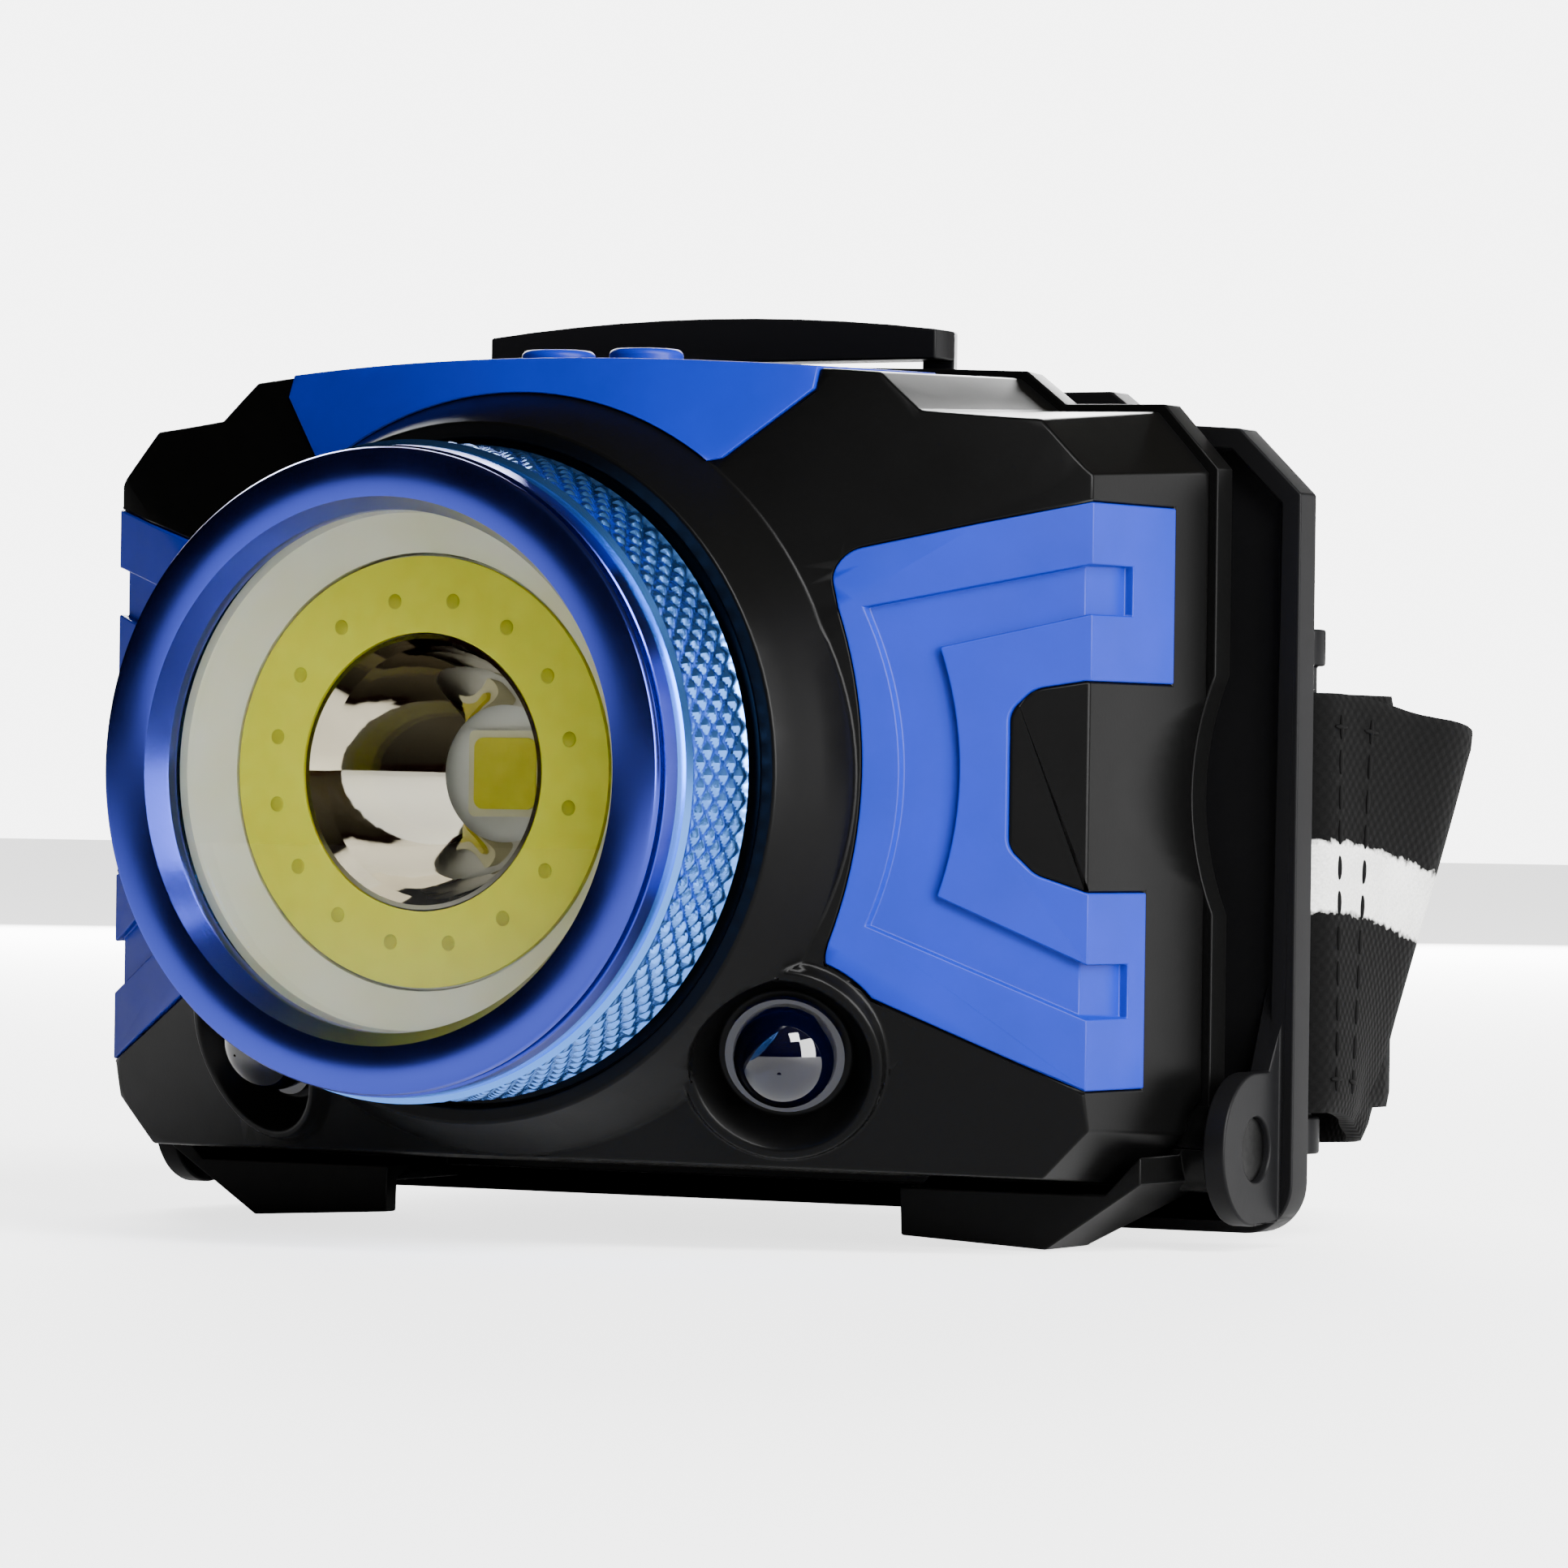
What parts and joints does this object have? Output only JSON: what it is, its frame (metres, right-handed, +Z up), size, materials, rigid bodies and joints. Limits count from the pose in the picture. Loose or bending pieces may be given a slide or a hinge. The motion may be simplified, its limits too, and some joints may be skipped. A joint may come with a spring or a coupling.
{
  "type": "headlamp",
  "caption": "Tilting headlamp with a ring light round a centre spot, a knurled bezel, push buttons, motion sensors, a forehead pad and an elastic strap.",
  "frame": {"origin": "centre of the forehead pad's rear face", "axes": "+Z up, the lamp shines along -Y, +Y points out of the pad's rear face towards the head, +X to the right seen from the front"},
  "size_m": [0.0764, 0.0937, 0.0552],
  "materials": {
    "bezel_blue": "blue anodised, knurled",
    "board_green": "solder mask",
    "bowl_white": "polished white",
    "button_blue": "satin moulded",
    "cell_wrap": "shrink wrap",
    "chip_amber": "silicone domes",
    "chip_black": "moulded",
    "cob_plate": "plain",
    "cover_black": "moulded",
    "diode_dark": "polished",
    "grip_blue": "satin moulded",
    "heat_sink_metal": "plain",
    "led_plate": "white solder mask",
    "led_white": "ceramic",
    "pad_foam": "cloth over foam",
    "phosphor_yellow": "silicone with phosphor",
    "pin_steel": "plain",
    "plate_black": "moulded",
    "reflector_chrome": "vacuum metallised",
    "screw_steel": "zinc plated",
    "seal_rubber": "matt",
    "sensor_blue": "polished dark blue",
    "shell_black": "semi-gloss moulded",
    "slider_black": "moulded",
    "spring_steel": "nickel plated",
    "strap_web": "woven elastic, pale stripe",
    "switch_black": "moulded",
    "tray_black": "moulded",
    "window_clear": "clear polished",
    "wire_red": "insulation"
  },
  "bodies": {
    "plate": {"back_plate": "plate_black", "forehead_pad": "pad_foam", "head_strap": "strap_web"},
    "cover": {"rear_cover": "cover_black", "cover_seal": "seal_rubber", "hinge_pins": "pin_steel"},
    "head": {"battery_cell_1": "cell_wrap", "battery_cell_2": "cell_wrap", "battery_cell_3": "cell_wrap", "battery_contacts": "spring_steel", "battery_springs": "spring_steel", "battery_tray": "tray_black", "bezel_ring": "bezel_blue", "board_screws": "screw_steel", "cob_board": "cob_plate", "cob_chips": "chip_amber", "cob_phosphor": "phosphor_yellow", "cob_wires": "wire_red", "diffuser_bowl": "bowl_white", "driver_board": "board_green", "driver_chips": "chip_black", "front_shell": "shell_black", "heat_sink": "heat_sink_metal", "led_board": "led_plate", "led_package": "led_white", "led_phosphor": "phosphor_yellow", "lens_seal": "seal_rubber", "lens_window": "window_clear", "push_switches": "switch_black", "reflector": "reflector_chrome", "sensor_diode_left": "diode_dark", "sensor_diode_right": "diode_dark", "sensor_lens_left": "sensor_blue", "sensor_lens_right": "sensor_blue", "side_grip_left": "grip_blue", "side_grip_right": "grip_blue", "switch_board": "board_green", "top_grip": "grip_blue"},
    "main_button": {"button_main": "button_blue"},
    "sensor_button": {"button_sensor": "button_blue"},
    "slider": {"strap_slider": "slider_black"}
  },
  "joints": [
    {"name": "head_tilt", "type": "hinge", "parent": "plate", "child": "cover", "pos_m": [0, -0.0095, -0.0214], "axis": [1, 0, 0], "range_deg": [0, 45]},
    {"name": "shell_release", "type": "slide", "parent": "cover", "child": "head", "axis": [0, -1, 0], "range_m": [0, 0.022]},
    {"name": "main_press", "type": "slide", "parent": "head", "child": "main_button", "axis": [0, 0, -1], "range_m": [0, 0.0006], "stiffness_N_per_m": 800},
    {"name": "sensor_press", "type": "slide", "parent": "head", "child": "sensor_button", "axis": [0, 0, -1], "range_m": [0, 0.0006], "stiffness_N_per_m": 800},
    {"name": "strap_adjust", "type": "slide", "parent": "plate", "child": "slider", "axis": [1, 0, 0], "range_m": [-0.014, 0.014]}
  ]
}
